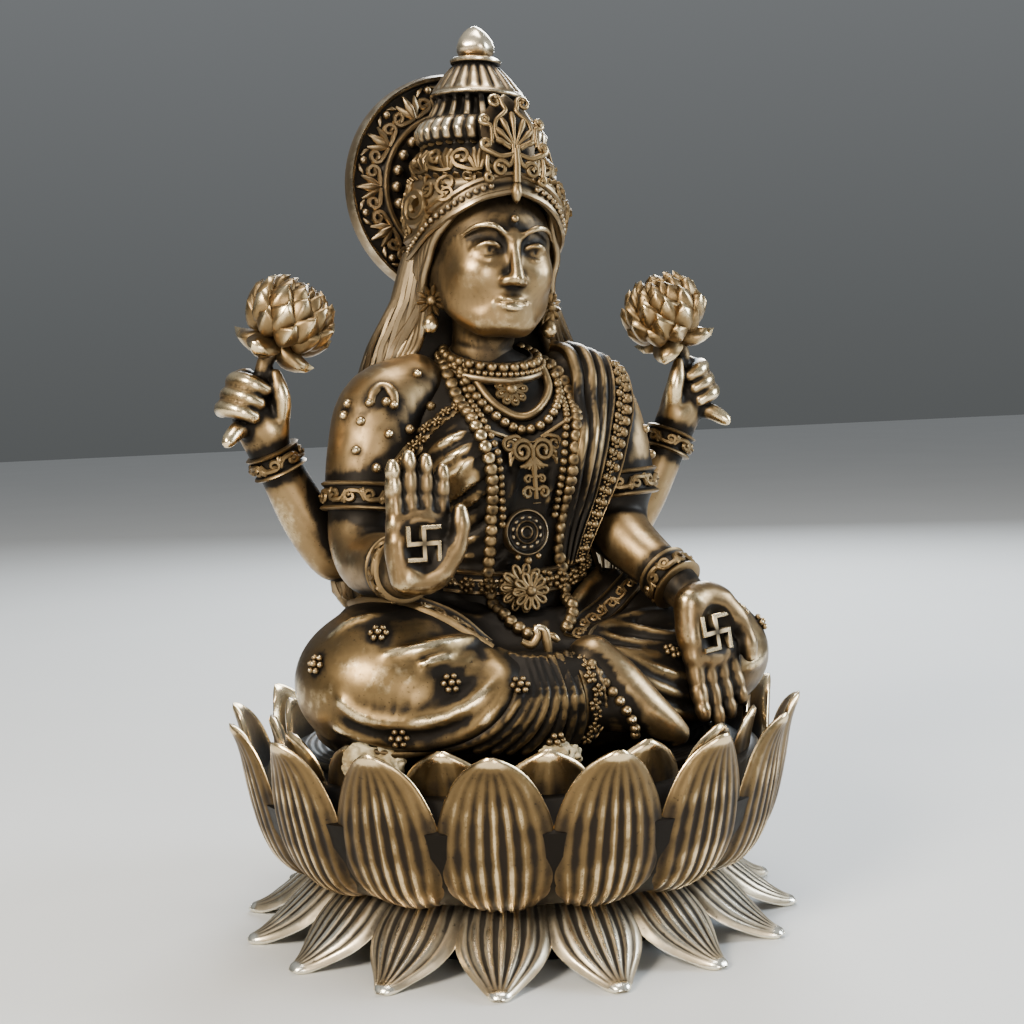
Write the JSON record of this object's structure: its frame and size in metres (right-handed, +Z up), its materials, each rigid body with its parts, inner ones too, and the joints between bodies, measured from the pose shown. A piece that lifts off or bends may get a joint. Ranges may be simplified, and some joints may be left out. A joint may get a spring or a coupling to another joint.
{
  "type": "statuette",
  "caption": "Seated four-armed Lakshmi statuette on a double lotus throne, antique bronze finish, for a shelf or altar.",
  "frame": {"origin": "on the surface it stands on, under the middle of the lotus throne", "axes": "+Z up to the finial, -Y the way she faces, +X towards her left"},
  "size_m": [0.1556, 0.1556, 0.2402],
  "materials": {
    "bronze_figure": "bronze-finished cast, dark brown patina in the recesses, rubbed gold-brown on what stands out, semi-gloss",
    "bronze_throne": "bronze-finished cast, dark grooves, rubbed pale gold edges, semi-gloss",
    "adhesive": "set glue, pale cream, rough and lumpy"
  },
  "bodies": {
    "root": {"figure": "bronze_figure", "lotus_throne": "bronze_throne", "adhesive_left": "adhesive", "adhesive_front": "adhesive"}
  },
  "joints": []
}
